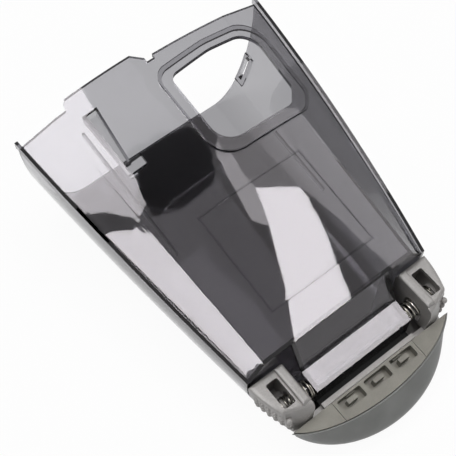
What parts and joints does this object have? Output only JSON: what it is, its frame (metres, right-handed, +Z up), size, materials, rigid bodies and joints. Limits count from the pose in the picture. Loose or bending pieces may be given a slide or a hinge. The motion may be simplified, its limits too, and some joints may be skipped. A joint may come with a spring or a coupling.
{
  "type": "cyclone dust bin",
  "caption": "Clear smoke-grey dust bin of a handheld cyclone vacuum: tapered cup with open mouth, framed window, sprung side release buttons and a soft nose with an inlet flap.",
  "frame": {"origin": "centre of the bounding box in plan, on the plane of the flat belly", "axes": "+Z up from the belly, +Y towards the open mouth, -Y towards the nose, X across the width"},
  "size_m": [0.1202, 0.1702, 0.0653],
  "materials": {
    "smoke_plastic": "clear smoke-grey, polished",
    "silver_plastic": "silver-grey, fine satin",
    "deck_plastic": "warm grey, fine satin",
    "bumper_rubber": "dark grey soft-touch",
    "seal_rubber": "black, matt",
    "flap_rubber": "dark grey, soft",
    "spring_steel": "bright drawn wire",
    "screw_steel": "zinc plated"
  },
  "bodies": {
    "bin": {"dust_cup": "smoke_plastic", "nose_frame": "silver_plastic", "duct_seal": "seal_rubber", "nose_bumper": "bumper_rubber", "deck_wing_left": "deck_plastic", "deck_wing_right": "deck_plastic", "deck_insert": "deck_plastic", "nose_screws": "screw_steel", "button_spring_left": "spring_steel", "button_spring_right": "spring_steel"},
    "button_left": {"release_button_left": "silver_plastic"},
    "button_right": {"release_button_right": "silver_plastic"},
    "flap": {"inlet_flap": "flap_rubber"}
  },
  "joints": [
    {"name": "button_left_press", "type": "slide", "parent": "bin", "child": "button_left", "axis": [1, 0, 0], "range_m": [0, 0.004], "stiffness_N_per_m": 800, "deforming": ["button_spring_left"]},
    {"name": "button_right_press", "type": "slide", "parent": "bin", "child": "button_right", "axis": [-1, 0, 0], "range_m": [0, 0.004], "stiffness_N_per_m": 800, "deforming": ["button_spring_right"]},
    {"name": "flap_swing", "type": "hinge", "parent": "bin", "child": "flap", "pos_m": [0, -0.0569, 0.0158], "axis": [1, 0, 0], "range_deg": [0, 65]}
  ]
}
